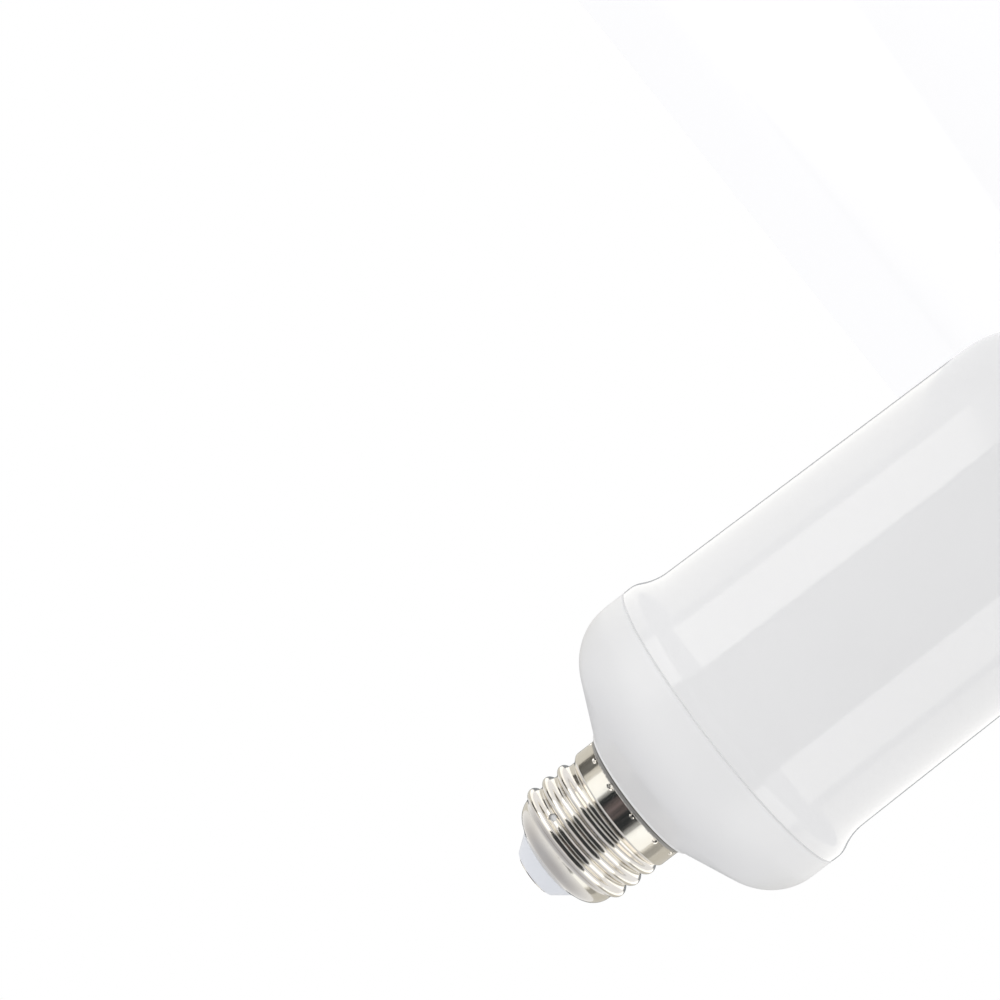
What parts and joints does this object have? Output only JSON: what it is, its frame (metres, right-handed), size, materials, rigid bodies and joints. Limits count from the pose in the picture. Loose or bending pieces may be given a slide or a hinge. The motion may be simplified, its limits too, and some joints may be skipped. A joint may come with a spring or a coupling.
{
  "type": "flame effect led bulb",
  "caption": "Flame effect LED bulb with a tall opal diffuser, a white coned housing and a nickel Edison screw cap.",
  "frame": {"origin": "centre of the flat face of the diffuser's head, which the bulb stands on", "axes": "+Z along the bulb's axis, from the head towards the centre contact; +X and +Y across it"},
  "size_m": [0.063, 0.063, 0.1416],
  "materials": {
    "opal_plastic": "glossy opal white",
    "white_plastic": "white, half gloss",
    "nickel_plate": "nickel plate, rolled and lightly brushed",
    "insulator_plastic": "white, smooth",
    "contact_metal": "nickel plate",
    "screw_steel": "zinc plate",
    "flex_board": "white solder mask",
    "circuit_board": "green solder mask",
    "chip_plastic": "black moulded",
    "capacitor_sleeve": "dark sleeve",
    "ferrite": "dark grey ferrite",
    "resistor_ceramic": "green lacquer",
    "led_package": "yellow lens in a white package",
    "lead_red": "red sleeve",
    "lead_white": "white sleeve",
    "lead_black": "black sleeve"
  },
  "bodies": {
    "root": {"base_housing": "white_plastic", "bridge_rectifier": "chip_plastic", "cap_insulator": "insulator_plastic", "centre_contact": "contact_metal", "chip_resistors": "chip_plastic", "column_cap": "white_plastic", "control_board": "circuit_board", "control_capacitor": "capacitor_sleeve", "diffuser": "opal_plastic", "driver_board": "circuit_board", "driver_chip": "chip_plastic", "flame_controller": "chip_plastic", "freewheel_diode": "chip_plastic", "fuse_resistor": "resistor_ceramic", "inductor": "ferrite", "input_capacitor": "capacitor_sleeve", "led_flex_board": "flex_board", "led_former": "white_plastic", "led_ring_01": "led_package", "led_ring_02": "led_package", "led_ring_03": "led_package", "led_ring_04": "led_package", "led_ring_05": "led_package", "led_ring_06": "led_package", "led_ring_07": "led_package", "led_ring_08": "led_package", "led_ring_09": "led_package", "led_ring_10": "led_package", "led_ring_11": "led_package", "live_lead": "lead_red", "mounting_plate": "white_plastic", "mounting_screws": "screw_steel", "neutral_lead": "lead_white", "output_capacitor": "capacitor_sleeve", "screw_shell": "nickel_plate", "supply_lead_negative": "lead_black", "supply_lead_positive": "lead_red"}
  },
  "joints": []
}
